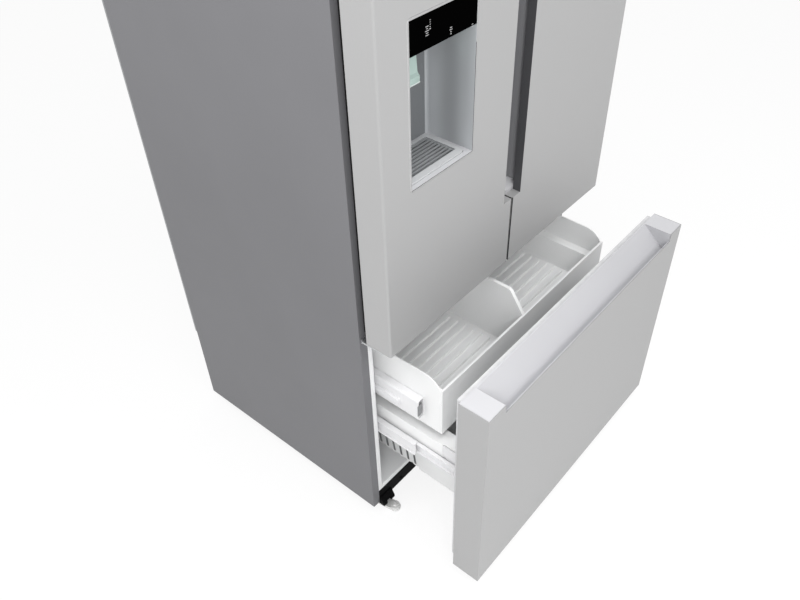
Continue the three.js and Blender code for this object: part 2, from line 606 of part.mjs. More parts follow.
function dispenserGlass() {
  const [x0, x1] = DISPENSER_X;
  const face = new THREE.Shape();
  const [z0, z1] = [PANEL_BOTTOM + GAP, DISPENSER_Z[1] - GAP];
  const r = 9;
  face.moveTo(x0 + GAP, z0);
  face.lineTo(x1 - GAP, z0);
  face.lineTo(x1 - GAP, z1 - r);
  face.absarc(x1 - GAP - r, z1 - r, r, 0, Math.PI / 2, false);
  face.lineTo(x0 + GAP + r, z1);
  face.absarc(x0 + GAP + r, z1 - r, r, Math.PI / 2, Math.PI, false);
  return prism(face, 'y', [DOOR_FRONT, DOOR_FRONT + 5.5]);
}

const PADDLE_PIVOT = { y: 5, z: 1216 };

// Paddle: a slightly dished plate hanging from a cross pin between the two ears.
function dispenserPaddle() {
  const side = outline([
    [3.5, 1214], [7, 1214], [5.5, 1160], [1, 1111], [-4, 1106], [-6, 1108], [-2, 1113], [2.2, 1160],
  ]);
  const plate = prism(side, 'x', [DISPENSER_CENTRE - 31, DISPENSER_CENTRE + 31]);
  const pin = rod('x', [DISPENSER_CENTRE - 35, DISPENSER_CENTRE + 35], [PADDLE_PIVOT.y, PADDLE_PIVOT.z], 3.5, 16);
  return join(plate, pin);
}

// Lift-out drip tray with a slotted top.
function dripTray() {
  const [x0, x1] = [DISPENSER_X[0] + 9, DISPENSER_X[1] - 9];
  const top = DISPENSER_Z[0] + 3;
  const body = prism(roundRect([x0, x1], [-73, 17], 7), 'z', [948, top]);
  const hollow = prism(roundRect([x0 + 3, x1 - 3], [-70, 14], 5), 'z', [951, top - 5]);
  const recess = prism(roundRect([x0 + 9, x1 - 9], [-60, 11], 3), 'z', [top - 2, top + 1], 1);
  const slots = [];
  for (let i = 0; i < 8; i += 1) {
    const y = -57 + i * 8.4;
    slots.push(box([x0 + 13, x1 - 13], [y, y + 5], [top - 6, top + 1]));
  }
  return cut(body, hollow, recess, ...slots);
}

// Hinged seal bar between the doors, folded back beside the left door's inner panel.
function mullionFlap() {
  const bar = prism(roundRect([-44, -30.5], [12, 74], 3), 'z', [668, 1716]);
  const knuckles = [700, 1180, 1650].map((z) => join(
    rod('z', [z, z + 34], [-36, 6], 5, 16),
    box([-41, -31], [5, 13], [z, z + 34]),
  ));
  return join(bar, ...knuckles);
}

// ---------------------------------------------------------------- freezer drawer
const DRAWER_FRONT_Y = DOOR_FRONT - DRAWER_PULLED;
const DRAWER_REAR_Y = DRAWER_FRONT_Y + DRAWER_THICKNESS;
const HANDLE_CAP = 54; // width of the full-height end of the drawer's top trim
const LIP_TOP = DRAWER_TOP - 22;
const VALLEY_Z = DRAWER_TOP - 49; // bottom of the finger groove
const SHEET = 1.7; // steel round the drawer's top trim

// Top trim in section: rear edge, slope and valley, between two full-height ends.
function drawerTopTrim() {
  const trimTop = DRAWER_TOP;
  const rear = DRAWER_REAR_Y;
  const block = prism(outline([
    [DRAWER_FRONT_Y + 2, trimTop], [DRAWER_FRONT_Y + 2, VALLEY_Z - 8], [rear, VALLEY_Z - 8], [rear, trimTop],
  ]), 'x', [-HALF + SHEET + GAP, HALF - SHEET - GAP]);
  const groove = prism(outline([
    [DRAWER_FRONT_Y + 1, trimTop + 1], [DRAWER_FRONT_Y + 1, LIP_TOP + GAP], [DRAWER_FRONT_Y + 4, LIP_TOP + GAP],
    [DRAWER_FRONT_Y + 11, VALLEY_Z], [DRAWER_FRONT_Y + 15, VALLEY_Z], [rear - 2, trimTop], [rear - 2, trimTop + 1],
  ]), 'x', [-HALF + HANDLE_CAP, HALF - HANDLE_CAP]);
  return cut(block, groove);
}

// Steel front of the drawer, folded round both sides, with its top edge stepped down at the groove.
function drawerFront() {
  const low = prism(roundRect([-HALF, HALF], [DRAWER_BOTTOM, VALLEY_Z - 8 - GAP], 1), 'y',
    [DRAWER_FRONT_Y, DRAWER_REAR_Y]);
  const rise = [VALLEY_Z - 12, DRAWER_TOP];
  const sheet = box([-HALF, HALF], [DRAWER_FRONT_Y, DRAWER_FRONT_Y + SHEET], rise);
  const sides = [[-HALF, -HALF + SHEET], [HALF - SHEET, HALF]].map((x) => box(x, [DRAWER_FRONT_Y, DRAWER_REAR_Y], rise));
  const notch = box([-HALF + HANDLE_CAP, HALF - HANDLE_CAP], [DRAWER_FRONT_Y - 1, DRAWER_FRONT_Y + 2], [LIP_TOP, DRAWER_TOP + 1]);
  return join(low, cut(sheet, notch), ...sides);
}

const DRAWER_PANEL_REAR = DRAWER_REAR_Y + 10;

// White inner panel with a raised field.
function drawerPanel() {
  const plate = box([-368, 368], [DRAWER_REAR_Y + GAP, DRAWER_REAR_Y + 6], [66, 582]);
  const field = loftY([-345, 345], [92, 560], DRAWER_REAR_Y + 5, DRAWER_PANEL_REAR, 5);
  return join(plate, field);
}

// Block whose rear face is smaller than its front face by inset.
function loftY([x0, x1], [z0, z1], yFront, yRear, inset) {
  const ring = (y, d) => [
    [x0 + d, y, z0 + d], [x0 + d, y, z1 - d], [x1 - d, y, z1 - d], [x1 - d, y, z0 + d],
  ];
  return loft([ring(yFront, 0), ring(yRear, inset)]);
}

function drawerGasket() {
  const ring = (inset, y) => prism(roundRect([-384 + inset, 384 - inset], [50 + inset, 597 - inset], 4), 'y', y, 3);
  const [front, rear] = [DRAWER_REAR_Y + GAP, DRAWER_REAR_Y + 11.5];
  return cut(ring(0, [front, rear]), ring(14, [front - 1, rear + 1]));
}

const BIN_FRONT = DRAWER_PANEL_REAR + 2;
const BIN_REAR = 108;

const BIN_LOW = 112;
const BIN_RIM = 356;
const BIN_KNEE = 268; // where the leaning lower wall meets the steeper upper wall
const BIN_HALF = 277; // half width at the bottom
const BIN_CORNER = 12;
const BIN_LEAN = 20; // how far the lower wall leans out
const PAD = 6; // thickness that the plain pad and the flutes add to the lower wall
const PAD_END = -57;
const FLUTE_PITCH = 22.5;
const FLUTE_LOW = 10; // lower end of the tongues above the bin's bottom
const SLOT_HALF = 3.4;
const SKIRT_Z = [271, 354];
const SEAM_Y = -171; // where the bin's skirt meets the rail's bracket

// Box on one side, from one distance to another off the middle.
const sideBox = (side, [near, far], y, z) => box([Math.min(side * near, side * far), Math.max(side * near, side * far)], y, z);

// Lower bin: leaning walls, fluted towards the rear, and a wide flat rim with skirts beside the rails.
function lowerBin() {
  const rim = BIN_HALF + BIN_LEAN + 4;
  const shell = (t, up) => loft([
    ringAt(BIN_LOW + t, [-BIN_HALF + t, BIN_HALF - t], [BIN_FRONT + 4 + t, BIN_REAR - 8 - t], BIN_CORNER - t),
    ringAt(BIN_KNEE, [-BIN_HALF - BIN_LEAN + t, BIN_HALF + BIN_LEAN - t], [BIN_FRONT + 1 + t, BIN_REAR - 2 - t], BIN_CORNER - t),
    ringAt(BIN_RIM + up, [-rim + t, rim - t], [BIN_FRONT + t, BIN_REAR - t], BIN_CORNER - t),
  ]);
  const flanges = [-1, 1].flatMap((side) => [
    sideBox(side, [rim - 2, 334], [BIN_FRONT, SEAM_Y + 1], [BIN_RIM - 3, BIN_RIM]),
    sideBox(side, [rim - 2, 338], [SEAM_Y, BIN_REAR - 20], [BIN_RIM - 3, BIN_RIM]),
    sideBox(side, [335, 338], [SEAM_Y, BIN_REAR - 20], SKIRT_Z),
  ]);
  return join(cut(shell(0, 0), shell(3, 1)), flutedPad(-1), flutedPad(1), ...flanges);
}

// Pad on the bin's leaning side wall: plain in front, then tongues with round lower ends and a slot in each.
function flutedPad(side) {
  const up = Math.hypot(BIN_KNEE + 2 - BIN_LOW, BIN_LEAN);
  const half = FLUTE_PITCH / 2;
  const centres = [];
  for (let y = PAD_END + half; y < BIN_REAR - 30; y += FLUTE_PITCH) centres.push(y);
  const shape = new THREE.Shape();
  shape.moveTo(BIN_FRONT + 18, up);
  shape.lineTo(BIN_FRONT + 18, 2);
  shape.lineTo(PAD_END, 2);
  for (const y of centres) {
    shape.lineTo(y - half, FLUTE_LOW + half);
    shape.absarc(y, FLUTE_LOW + half, half, Math.PI, Math.PI * 2, false);
  }
  shape.lineTo(centres.at(-1) + half, up);
  for (const y of centres.reverse()) {
    shape.lineTo(y + SLOT_HALF, up);
    shape.lineTo(y + SLOT_HALF, FLUTE_LOW + half);
    shape.absarc(y, FLUTE_LOW + half, SLOT_HALF, 0, -Math.PI, true);
    shape.lineTo(y - SLOT_HALF, up);
  }
  const geometry = new THREE.ExtrudeGeometry(shape, { depth: PAD + 1, bevelEnabled: false, curveSegments: 3 });
  geometry.translate(0, 0, -1);
  geometry.applyMatrix4(new THREE.Matrix4().makeBasis(
    new THREE.Vector3(0, 1, 0), new THREE.Vector3(0, 0, 1), new THREE.Vector3(1, 0, 0)));
  geometry.rotateY(Math.atan(BIN_LEAN / (BIN_KNEE - BIN_LOW)));
  geometry.translate(BIN_HALF, 0, BIN_LOW);
  const pad = solid(geometry);
  return side > 0 ? pad : pad.mirror([1, 0, 0]);
}

// ---------------------------------------------------------------- rails
// Section of an open channel: web at one x, flanges towards the other.
function channel([webX, openX], [z0, z1], thickness, [y0, y1]) {
  const inward = Math.sign(openX - webX) * thickness;
  return prism(outline([
    [webX, z0], [openX, z0], [openX, z0 + thickness], [webX + inward, z0 + thickness],
    [webX + inward, z1 - thickness], [openX, z1 - thickness], [openX, z1], [webX, z1],
  ]), 'y', [y0, y1]);
}

const RAIL_Y = [14, 354];

function railFixed() {
  return channel([-LINER_X + GAP, -348], [284, 326], 1.6, RAIL_Y);
}

// Middle member: an I section, pulled out by half the drawer's travel.
function railMiddle() {
  const span = [RAIL_Y[0] - RAIL_PULLED, RAIL_Y[1] - RAIL_PULLED];
  return prism(outline([
    [-357, 287], [-345, 287], [-345, 288.6], [-350.4, 288.6], [-350.4, 321.4], [-345, 321.4], [-345, 323],
    [-357, 323], [-357, 321.4], [-352, 321.4], [-352, 288.6], [-357, 288.6],
  ]), 'y', span);
}

// Inner member and the bracket that holds the drawer's front.
function drawerRail() {
  const inner = channel([-341, -349.5], [291, 319], 1.6, [DRAWER_REAR_Y + 11, RAIL_Y[1] - DRAWER_PULLED]);
  const bracket = box([-338, -335], [DRAWER_PANEL_REAR + GAP, SEAM_Y - 1], SKIRT_Z);
  const foot = box([-341, -322], [DRAWER_PANEL_REAR + GAP, DRAWER_PANEL_REAR + 2 - GAP], [262, SKIRT_Z[1]]);
  const tie = box([-341.2, -336], [DRAWER_PANEL_REAR + 1, -188], [297, 313]);
  const slots = [292, 303, 314].map((z) => box([-339, -334], [-180, -176], [z, z + 5]));
  return cut(join(inner, bracket, foot, tie), ...slots);
}

const BASKET_RAIL_Z = [400, 466];

function basketRailFixed() {
  return channel([-LINER_X + GAP, -350], BASKET_RAIL_Z, 2, [14, 470]);
}

// Slide beside the basket's skirt, hollow at its front end.
function basketRail() {
  const [z0, z1] = BASKET_RAIL_Z;
  const section = outline([[-346, z0 + 4], [-346, z1 - 8], [-342, z1 - 4], [-327.5, z1 - 4], [-327.5, z0 + 4]]);
  const tunnel = outline([[-343.5, z0 + 6.5], [-343.5, z1 - 9], [-341, z1 - 6.5], [-330, z1 - 6.5], [-330, z0 + 6.5]]);
  const body = prism(section, 'y', [-110, 300]);
  const runner = box([-354, -345], [-60, 300], [z0 + 26, z0 + 38]);
  return join(cut(body, prism(tunnel, 'y', [-111, 280])), runner);
}

// ---------------------------------------------------------------- upper basket
const BASKET_Y = [-160, 306];
const BASKET_TOP = 535;
const BASKET_FRONT_TOP = 511;
const BASKET_LEDGE = 466;
const BASKET_FLOOR = 405;
const BASKET_SKIRT = 376; // lower edge of the front and side skirts

// Section shape of the basket's side: leaning low wall, ledge and wider high wall.
function basketRings(inset, bottom, top) {
  const [y0, y1] = BASKET_Y;
  const t = inset;
  return [
    ringAt(bottom, [-290 + t, 290 - t], [y0 + t, y1 - t - 4], 10),
    ringAt(BASKET_LEDGE + t - 2, [-306 + t, 306 - t], [y0 + t, y1 - t - 2], 10),
    ringAt(BASKET_LEDGE + t, [-327 + t, 327 - t], [y0 + t, y1 - t - 2], 10),
    ringAt(top, [-327 + t, 327 - t], [y0 + t, y1 - t], 10),
  ];
}

// Outline in side view of a wall that climbs from the low front wall to the full height.
function wallSide(bottom) {
  const [y0, y1] = BASKET_Y;
  return outline([
    [y0, bottom], [y0, BASKET_FRONT_TOP], [y0 + 5, BASKET_FRONT_TOP], [y0 + 14, BASKET_TOP - 15.5], [y0 + 24, BASKET_TOP - 7.5],
    [y0 + 34, BASKET_TOP - 3], [y0 + 48, BASKET_TOP],
    [y1 + 1, BASKET_TOP], [y1 + 1, bottom],
  ]);
}

function upperBasket() {
  const [y0, y1] = BASKET_Y;
  const outer = loft(basketRings(0, BASKET_FLOOR - 3, BASKET_TOP + 2));
  const inner = loft(basketRings(3, BASKET_FLOOR, BASKET_TOP + 3));
  const trimmed = cut(outer, inner).intersect(prism(wallSide(BASKET_FLOOR - 30), 'x', [-HALF, HALF]));
  const frontSkirt = box([-327, 327], [y0, y0 + 3], [BASKET_SKIRT, BASKET_FRONT_TOP]);
  const frontRim = box([-325, 325], [y0, y0 + 5], [BASKET_FRONT_TOP - 5, BASKET_FRONT_TOP]);
  const sideSkirts = [-1, 1].map((side) => sideBox(side, [324, 327], [y0, y1 - 6], [BASKET_SKIRT, BASKET_LEDGE + 4]));
  const ribs = [];
  for (let y = y0 + 26; y < y1 - 30; y += 24) {
    for (const [x0, x1] of [[-276, -48], [-6, 276]]) {
      const top = BASKET_FLOOR + 6;
      ribs.push(prism(outline([[y, BASKET_FLOOR - 1], [y + 2, top], [y + 14, top], [y + 16, BASKET_FLOOR - 1]]), 'x', [x0, x1]));
    }
  }
  return join(trimmed, frontSkirt, frontRim, ...sideSkirts, ...ribs, basketDivider(-27));
}

// Moulded divider that stands in the basket from front to rear.
function basketDivider(x) {
  const [y0, y1] = BASKET_Y;
  const top = 568;
  return prism(outline([
    [y0 + 2, BASKET_FLOOR - 1], [y0 + 2, BASKET_FRONT_TOP], [y0 + 38, top - 5.5], [y0 + 42, top - 1.5], [y0 + 48, top],
    [y1 - 60, top], [y1 - 5, BASKET_TOP - 2], [y1 - 5, BASKET_FLOOR - 1],
  ]), 'x', [x - 4.5, x + 4.5]);
}

// ---------------------------------------------------------------- assembly
const LEFT_BINS = [[694, 96], [1470, 96]];
const RIGHT_BINS = [[694, 110], [1010, 96], [1330, 96]];

addPiece('cabinet_shell', cabinetShell(), CABINET_GREY);
addPiece('back_panel', backPanel(), ZINC);
addPiece('fridge_liner', fridgeLiner(), LINER_WHITE);
addPiece('freezer_liner', freezerLiner(), LINER_WHITE);
addPiece('kick_strip', kickStrip(), BLACK);
addPair('front_foot', frontFoot(), ZINC);
addPair('rear_roller', rearRoller(), BLACK);

SHELF_HEIGHTS.forEach((z, i) => addPiece(`glass_shelf_${i + 1}`, glassShelf(z), GLASS));
addPiece('crisper', crisper(), BIN_CLEAR);
addPiece('air_duct', airDuct(), LINER_WHITE);

addPiece('compressor', compressor(), BLACK);
addPiece('condenser', condenser(), COPPER);
addPiece('condenser_fan', condenserFan(), BLACK);
addPiece('compressor_cover', compressorCover(), ZINC);
addPiece('evaporator', evaporator(), ZINC);
addPiece('evaporator_cover', evaporatorCover(), LINER_WHITE);

addPair('top_hinge', topHinge(), ZINC);
addPair('hinge_cover', hingeCover(), TRIM_GREY);
addPair('mid_hinge', midHinge(), ZINC);

addPiece('left_door_body', cut(doorBody(), dispenserBlock(GAP)), STEEL);
addPiece('left_door_liner', cut(doorLiner(LEFT_BINS.map(([z]) => z)), dispenserBlock(GAP)), LINER_WHITE);
addPiece('left_door_gasket', doorGasket(), GASKET_GREY);
addPiece('left_handle_channel', handleChannel(), DARK_TRIM);
LEFT_BINS.forEach(([z, height], i) => addPiece(`left_door_bin_${i + 1}`, doorBin(z, height), BIN_CLEAR));
addPiece('dispenser_housing', dispenserHousing(), CAVITY_GREY);
addPiece('dispenser_glass', dispenserGlass(), BLACK_GLASS);
addPiece('dispenser_paddle', dispenserPaddle(), PADDLE_GREEN);
addPiece('drip_tray', dripTray(), CAVITY_GREY);
addPiece('mullion_flap', mullionFlap(), CAVITY_GREY);

addPiece('right_door_body', doorBody(), STEEL, true);
addPiece('right_door_liner', doorLiner(RIGHT_BINS.map(([z]) => z)), LINER_WHITE, true);
addPiece('right_door_gasket', doorGasket(), GASKET_GREY, true);
addPiece('right_handle_channel', handleChannel(), DARK_TRIM, true);
RIGHT_BINS.forEach(([z, height], i) => addPiece(`right_door_bin_${i + 1}`, doorBin(z, height), BIN_CLEAR, true));

addPiece('drawer_front', drawerFront(), STEEL);
addPiece('drawer_top_trim', drawerTopTrim(), TRIM_GREY);
addPiece('drawer_panel', drawerPanel(), LINER_WHITE);
addPiece('drawer_gasket', drawerGasket(), GASKET_GREY);
addPiece('lower_bin', lowerBin(), LINER_WHITE);
addPair('drawer_rail', drawerRail(), ZINC);
addPair('rail_middle', railMiddle(), ZINC);
addPair('rail_fixed', railFixed(), ZINC);

addPiece('upper_basket', upperBasket(), LINER_WHITE);
addPair('basket_rail', basketRail(), TRIM_GREY);
addPair('basket_rail_fixed', basketRailFixed(), ZINC);

export default refrigerator;
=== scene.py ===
"""Looks of the bottom-freezer refrigerator. Metres, +X right, +Y to the rear, +Z up."""
from math import cos, radians, sin

import bmesh
import bpy
from mathutils import Matrix, Vector


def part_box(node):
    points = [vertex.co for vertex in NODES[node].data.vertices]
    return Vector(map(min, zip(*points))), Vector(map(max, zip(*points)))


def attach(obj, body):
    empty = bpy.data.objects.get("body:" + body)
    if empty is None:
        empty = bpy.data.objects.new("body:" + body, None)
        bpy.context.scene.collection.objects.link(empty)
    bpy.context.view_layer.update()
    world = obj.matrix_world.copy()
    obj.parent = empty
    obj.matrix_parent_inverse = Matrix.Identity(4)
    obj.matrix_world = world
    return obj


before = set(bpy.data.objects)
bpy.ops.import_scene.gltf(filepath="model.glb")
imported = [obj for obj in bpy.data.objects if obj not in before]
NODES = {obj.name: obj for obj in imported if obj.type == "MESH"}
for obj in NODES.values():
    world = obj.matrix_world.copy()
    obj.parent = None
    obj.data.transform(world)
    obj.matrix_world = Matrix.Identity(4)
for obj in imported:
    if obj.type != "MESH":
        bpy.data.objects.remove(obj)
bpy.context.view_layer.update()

SIDES = {"left": -1, "right": 1}
SHELVES = "glass_shelf_1 glass_shelf_2 glass_shelf_3"
DOOR_BINS = "left_door_bin_1 left_door_bin_2 right_door_bin_1 right_door_bin_2 right_door_bin_3"
FRONT = (0, -1, 0)
REAR = (0, 1, 0)
DOWN = (0, 0, -1)
FRIDGE_CEILING = 1.732
FLANGE_FRONT = -0.15235  # plane of the cabinet's front flanges, with the kick strip flush in it
CAVITY_REAR = -0.12835  # back wall of the dispenser's cavity
CAVITY_FLOOR = 0.965
CAVITY_RIGHT = -0.151
CAVITY_LINE_TOP = 1.17  # the joint line beside the cavity ends below the black glass
HOUSING_MARGIN = 0.007  # from the housing's ends to its cavity
FLUTE_PITCH = 0.0225
FLUTE_START = -0.1981  # middle of the first slot in the bin's fluted sides
SLOT_HALF = 0.0037
SLOT_BOTTOM, SLOT_TOP = 0.12, 0.27
BIN_BOTTOM = 0.112
BIN_BOTTOM_HALF = 0.277
BIN_LEAN = 20 / 156  # of the bin's side walls
COVER_BOSS = 0.005  # how far the cord gland stands out of the machine cover
NOSING_REAR = -0.0262  # where a shelf's moulded front edge ends
BIN_RIM = 0.0082  # depth of the silver rim round a door bin's mouth
# the doors' rounded corners at the gap get painted black as the gap's shade
DOOR_CORNER = (0.0021, 0.0037)  # rounded front corners beside the gap between the doors
NOTCH_WALL = (0.0285, 0.0445)  # side walls of the notch that the handle groove sits in
GROOVE_BLOCK = 0.026  # height of the block at the groove's foot
PADDLE_INSET = 0.0042  # of the paddle's side face from its pivot's end
CRISPER_FRONT = -0.0292
CRISPER_HANDLE = 0.85  # the crisper's front is its handle from this height up


# ---------------------------------------------------------------- camera
def photo_camera():
    """Camera at the photograph's viewing angle, above the left front corner."""
    stand = (-1.16566, -0.9634, 1.7037)
    yaw, pitch, roll = radians(51.562), radians(42.429), radians(0.352)
    forward = Vector((sin(yaw) * cos(pitch), cos(yaw) * cos(pitch), -sin(pitch)))
    level = Vector((cos(yaw), -sin(yaw), 0))
    upright = level.cross(forward)
    right = cos(roll) * level + sin(roll) * upright
    up = cos(roll) * upright - sin(roll) * level
    data = bpy.data.cameras.new("photo_camera")
    data.sensor_width = 36
    data.lens = 34.915
    data.shift_x, data.shift_y = -0.0468, 0.0154
    camera = bpy.data.objects.new("photo_camera", data)
    bpy.context.scene.collection.objects.link(camera)
    camera.matrix_world = Matrix.Translation(stand) @ Matrix((right, up, -forward)).transposed().to_4x4()
    bpy.context.scene.camera = camera


# ---------------------------------------------------------------- finishes
class Finish:
    """A material on its way: its shader and short calls for the pattern nodes that feed it."""

    def __init__(self, name, colour, roughness, **sockets):
        self.material = bpy.data.materials.new(name)
        self.material.use_nodes = True
        self.tree = self.material.node_tree
        self.shader = self.tree.nodes["Principled BSDF"]
        self.colour = colour
        self.set("Base Color", (*colour, 1))
        self.set("Roughness", roughness)
        for socket, value in sockets.items():
            self.set(socket.replace("_", " "), value)
        self.place = self.add("ShaderNodeTexCoord").outputs["Object"]

    def set(self, socket, value):
        self.shader.inputs[socket].default_value = value

    def add(self, kind, **values):
        node = self.tree.nodes.new(kind)
        for socket, value in values.items():
            node.inputs[socket.replace("_", " ")].default_value = value
        return node

    def link(self, output, target, socket):
        self.tree.links.new(output, target.inputs[socket])

    def stretched(self, scale):
        mapping = self.add("ShaderNodeMapping", Scale=scale)
        self.link(self.place, mapping, "Vector")
        return mapping.outputs["Vector"]

    def noise(self, scale, stretch=(1, 1, 1), detail=3.0):
        noise = self.add("ShaderNodeTexNoise", Scale=scale, Detail=detail)
        self.link(self.stretched(stretch), noise, "Vector")
        return noise.outputs["Fac"]

    def cells(self, scale):
        cells = self.add("ShaderNodeTexVoronoi", Scale=scale)
        self.link(self.place, cells, "Vector")
        return cells.outputs["Color"]

    def spread(self, factor, low, high):
        """The factor's middle range, drawn out from low to high."""
        spread = self.add("ShaderNodeMapRange", From_Min=0.3, From_Max=0.7, To_Min=low, To_Max=high)
        self.link(factor, spread, "Value")
        return spread.outputs["Result"]

    def rough(self, factor, low, high):
        self.link(self.spread(factor, low, high), self.shader, "Roughness")

    def shades(self, factor, dark, light):
        """Base colour between dark and light shares of the finish's own colour."""
        mix = self.tree.nodes.new("ShaderNodeMix")
        mix.data_type = "RGBA"
        mix.inputs["A"].default_value = (*(c * dark for c in self.colour), 1)
        mix.inputs["B"].default_value = (*(min(1, c * light) for c in self.colour), 1)
        self.link(self.spread(factor, 0, 1), mix, "Factor")
        self.link(mix.outputs["Result"], self.shader, "Base Color")

    def bump(self, factor, depth, strength=1.0):
        bump = self.add("ShaderNodeBump", Strength=strength, Distance=depth)
        self.link(factor, bump, "Height")
        self.link(bump.outputs["Normal"], self.shader, "Normal")


def brushed_steel(name, level, roughness):
    """Fine vertical brushing under a clear coat that hides fingerprints."""
    steel = Finish(name, (level, level, level * 1.003), roughness, Metallic=0.25, Anisotropic=0.25)
    brushing = steel.noise(90, (14, 14, 0.35), 6)
    steel.rough(brushing, roughness * 0.9, roughness * 1.1)
    steel.shades(brushing, 0.985, 1.015)
    steel.bump(brushing, 0.00002)
    return steel.material


def textured_paint(name, colour, roughness, metallic):
    """Sprayed metallic paint with an orange-peel skin."""
    paint = Finish(name, colour, roughness, Metallic=metallic, Specular_IOR_Level=0.2)
    peel = paint.noise(420, detail=2)
    paint.shades(paint.noise(3.2), 0.97, 1.03)
    paint.rough(peel, roughness * 0.92, roughness * 1.08)
    paint.bump(peel, 0.00012, 0.5)
    return paint.material


def moulded(name, colour, roughness, texture=0.00004, **sockets):
    """Injection-moulded plastic: a fine spark texture and broad flow tones."""
    plastic = Finish(name, colour, roughness, **sockets)
    spark = plastic.noise(900, detail=2)
    plastic.shades(plastic.noise(5, (1, 1, 0.5)), 0.985, 1.015)
    plastic.rough(spark, roughness * 0.9, roughness * 1.15)
    plastic.bump(spark, texture, 0.6)
    return plastic.material


def wall_with_painted_reflections(name, colour, roughness):
    """Glossy plastic with slow upright light and dark bands painted into its colour as reflections, and the
    same bands in its roughness.
    """
    wall = Finish(name, colour, roughness)
    bands = wall.noise(14, (1, 1, 0.12), 1)
    wall.shades(bands, 0.78, 1.3)
    wall.rough(bands, roughness * 0.8, roughness * 1.3)
    wall.bump(wall.noise(700, detail=2), 0.00001)
    return wall.material


def zinc_plate(name, colour, roughness):
    """Zinc-plated sheet with its crystal spangle."""
    zinc = Finish(name, colour, roughness, Metallic=0.9)
    spangle = zinc.cells(160)
    zinc.shades(spangle, 0.92, 1.05)
    zinc.rough(spangle, roughness * 0.85, roughness * 1.2)
    zinc.bump(zinc.noise(700), 0.00002)
    return zinc.material


def rubber(name, colour, roughness):
    """Soft rubber or vinyl, without gloss."""
    matt = Finish(name, colour, roughness, Specular_IOR_Level=0.15)
    matt.shades(matt.noise(60), 0.94, 1.06)
    matt.bump(matt.noise(1200), 0.00005, 0.7)
    return matt.material


def polished(name, colour, roughness, **sockets):
    """Polished glass or clear plastic with the faintest waviness and handling marks."""
    glass = Finish(name, colour, roughness, **sockets)
    marks = glass.noise(18)
    glass.rough(marks, roughness, roughness * 1.8)
    glass.shades(marks, 0.98, 1.02)
    glass.bump(glass.noise(9), 0.0001, 0.15)
    return glass.material


DOOR_STEEL = brushed_steel("door_steel", 0.44, 0.46)
CABINET_PAINT = textured_paint("cabinet_paint", (0.195, 0.195, 0.205), 0.45, 0.1)
REAR_SHEET = zinc_plate("rear_sheet", (0.42, 0.43, 0.44), 0.45)
BLACK_PAINT = moulded("black_paint", (0.004, 0.004, 0.0045), 0.6, Specular_IOR_Level=0.04)
TRIM_SILVER = moulded("trim_silver", (0.62, 0.62, 0.64), 0.46)
GROOVE_END = moulded("groove_end", (0.5, 0.5, 0.515), 0.46)
LINER_PLASTIC = moulded("liner_plastic", (0.87, 0.875, 0.88), 0.38)
BASKET_PLASTIC = moulded("basket_plastic", (0.895, 0.9, 0.9), 0.4)
# darker grey for the drawer trim's slope than for its top, as painted shade
TRIM_SLOPE_PAINTED_SHADE = moulded("trim_slope_painted_shade", (0.53, 0.53, 0.55), 0.46)
PADDLE_RIM = moulded("paddle_rim", (0.8, 0.86, 0.84), 0.15, 0.00001)
HINGE_GREY = moulded("hinge_grey", (0.3, 0.3, 0.31), 0.45)
SLIDE_PLASTIC = moulded("slide_plastic", (0.82, 0.82, 0.83), 0.36)
# the dispenser cavity's walls, with painted reflection bands
CAVITY_PLASTIC = wall_with_painted_reflections("cavity_plastic", (0.4, 0.415, 0.43), 0.22)
# dark grey painted onto the cavity's back wall as the shade deep in the recess
CAVITY_PAINTED_SHADE = moulded("cavity_painted_shade", (0.22, 0.23, 0.24), 0.3)
TRAY_PLASTIC = moulded("tray_plastic", (0.6, 0.61, 0.62), 0.3)
GRILLE_PLASTIC = moulded("grille_plastic", (0.3, 0.31, 0.32), 0.35)
BLACK_PLASTIC = moulded("black_plastic", (0.014, 0.014, 0.015), 0.45, 0.00006)
DARK_TRIM = moulded("dark_trim", (0.035, 0.035, 0.038), 0.38)
GROOVE_GREY = moulded("groove_grey", (0.075, 0.075, 0.08), 0.5, Specular_IOR_Level=0.2)
GROOVE_LINING = moulded("groove_lining", (0.19, 0.19, 0.2), 0.4)
# black of the real gaskets, also painted as shade onto the door corners and strips in the gap between the
# doors
GASKET_RUBBER_AND_GAP_SHADE = rubber("gasket_rubber_and_gap_shade", (0.01, 0.01, 0.01), 0.7)
GASKET_GREY = rubber("gasket_grey", (0.66, 0.66, 0.67), 0.65)
ROLLER_RUBBER = rubber("roller_rubber", (0.02, 0.02, 0.02), 0.6)
BLACK_GLASS = polished("black_glass", (0.001, 0.001, 0.001), 0.1, Specular_IOR_Level=0.0)
WHITE_PRINT = moulded("white_print", (0.5, 0.5, 0.5), 0.5)
LAMP_LENS = moulded("lamp_lens", (0.9, 0.91, 0.9), 0.25, 0.00001)
SHELF_GLASS = polished("shelf_glass", (0.82, 0.92, 0.89), 0.03, Transmission_Weight=0.92, IOR=1.5)
CLEAR_PLASTIC = polished("clear_plastic", (0.9, 0.95, 0.96), 0.06, Transmission_Weight=0.88, IOR=1.45)
GREEN_PLASTIC = polished("green_plastic", (0.74, 0.92, 0.86), 0.12, Transmission_Weight=0.25, IOR=1.45)
SLIDE_PAINT = textured_paint("slide_paint", (0.8, 0.8, 0.81), 0.4, 0.0)
ZINC = zinc_plate("zinc", (0.62, 0.63, 0.64), 0.34)
NICKEL = moulded("nickel", (0.78, 0.78, 0.77), 0.28, Metallic=0.35)
# grey painted as shade into the floors of the bin's narrow slots and onto the slide latches
RECESS_PAINTED_SHADE = moulded("recess_painted_shade", (0.26, 0.265, 0.27), 0.5)
COPPER = zinc_plate("copper_tube", (0.55, 0.26, 0.15), 0.36)
ALUMINIUM = zinc_plate("fin_aluminium", (0.66, 0.67, 0.68), 0.38)


